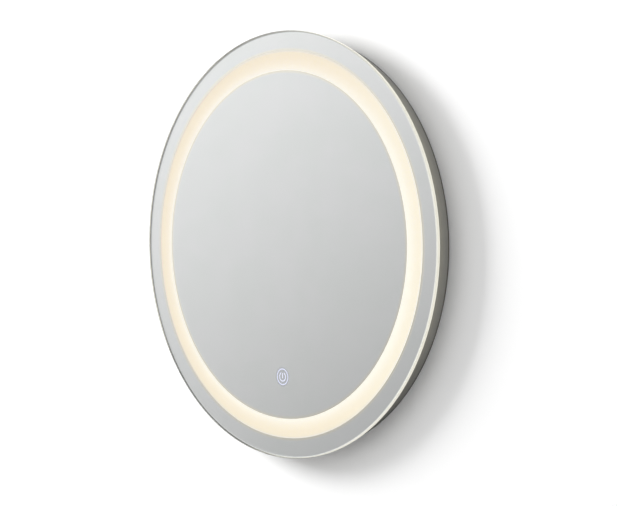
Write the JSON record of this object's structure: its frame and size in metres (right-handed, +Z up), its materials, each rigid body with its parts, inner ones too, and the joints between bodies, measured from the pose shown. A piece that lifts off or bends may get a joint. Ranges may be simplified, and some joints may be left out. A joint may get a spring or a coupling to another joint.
{
  "type": "lighted bathroom mirror",
  "caption": "Round frameless wall mirror with a frosted light ring, touch symbol, slim metal casing and hanging bar.",
  "frame": {"origin": "on the wall plane, midway between the two screw slots of the wall bar", "axes": "+X to the right as the user sees the mirror, +Y into the wall, +Z up; the glass faces -Y"},
  "size_m": [0.61, 0.035, 0.6099],
  "materials": {
    "glass": "clear float glass, polished edge",
    "silver": "silvered, optically smooth",
    "foam_tape": "white acrylic foam",
    "frame_metal": "satin, anodised warm grey",
    "splice_metal": "mill finish",
    "panel_steel": "galvanised sheet, matt spangle",
    "bar_steel": "zinc plated, satin",
    "screw_steel": "zinc plated",
    "rubber": "matt black",
    "channel_white": "white powder coat, matt",
    "opal": "opal acrylic, lit warm white",
    "strip_white": "white solder mask",
    "chip_yellow": "phosphor under clear resin",
    "connector_white": "moulded nylon",
    "driver_white": "moulded, fine texture",
    "board_green": "glass-fibre laminate",
    "ferrite": "sintered, matt",
    "capacitor_black": "shrink sleeve",
    "terminal_clear": "milky nylon",
    "terminal_brass": "plated brass",
    "switch_black": "moulded, fine texture",
    "copper": "bare copper foil",
    "icon_acrylic": "clear acrylic, lit pale lavender",
    "lead_brown": "PVC insulation",
    "lead_blue": "PVC insulation",
    "lead_earth": "PVC insulation, green and yellow",
    "lead_white": "PVC sheath"
  },
  "bodies": {
    "wall": {"wall_bar": "bar_steel"},
    "mirror": {"mirror_glass": "glass", "silver_coat": "silver", "bonding_tape": "foam_tape", "light_channel": "channel_white", "channel_rivets": "screw_steel", "diffuser_ring": "opal", "led_strip": "strip_white", "led_chips": "chip_yellow", "strip_joiner": "connector_white", "frame_ring": "frame_metal", "splice_plate": "splice_metal", "splice_screws": "screw_steel", "back_panel": "panel_steel", "panel_screws": "screw_steel", "hanger_bar": "bar_steel", "hanger_rivets": "screw_steel", "wall_bumpers": "rubber", "driver_base": "driver_white", "driver_cover": "driver_white", "driver_board": "board_green", "driver_transformer": "ferrite", "driver_capacitors": "capacitor_black", "driver_screws": "screw_steel", "cable_grommet": "rubber", "terminal_block": "terminal_clear", "terminal_screws": "terminal_brass", "earth_stud": "screw_steel", "earth_lug": "terminal_brass", "earth_nut": "screw_steel", "touch_housing": "switch_black", "touch_tape": "foam_tape", "icon_guide": "icon_acrylic", "touch_pad": "copper", "touch_board": "board_green", "touch_chips": "switch_black", "live_lead": "lead_brown", "neutral_lead": "lead_blue", "earth_lead": "lead_earth", "switch_lead": "lead_white", "strip_lead": "lead_white", "lead_clips": "connector_white"}
  },
  "joints": [
    {"name": "lift_off", "type": "slide", "parent": "wall", "child": "mirror", "axis": [0, 0, 1], "range_m": [0, 0.014]}
  ]
}
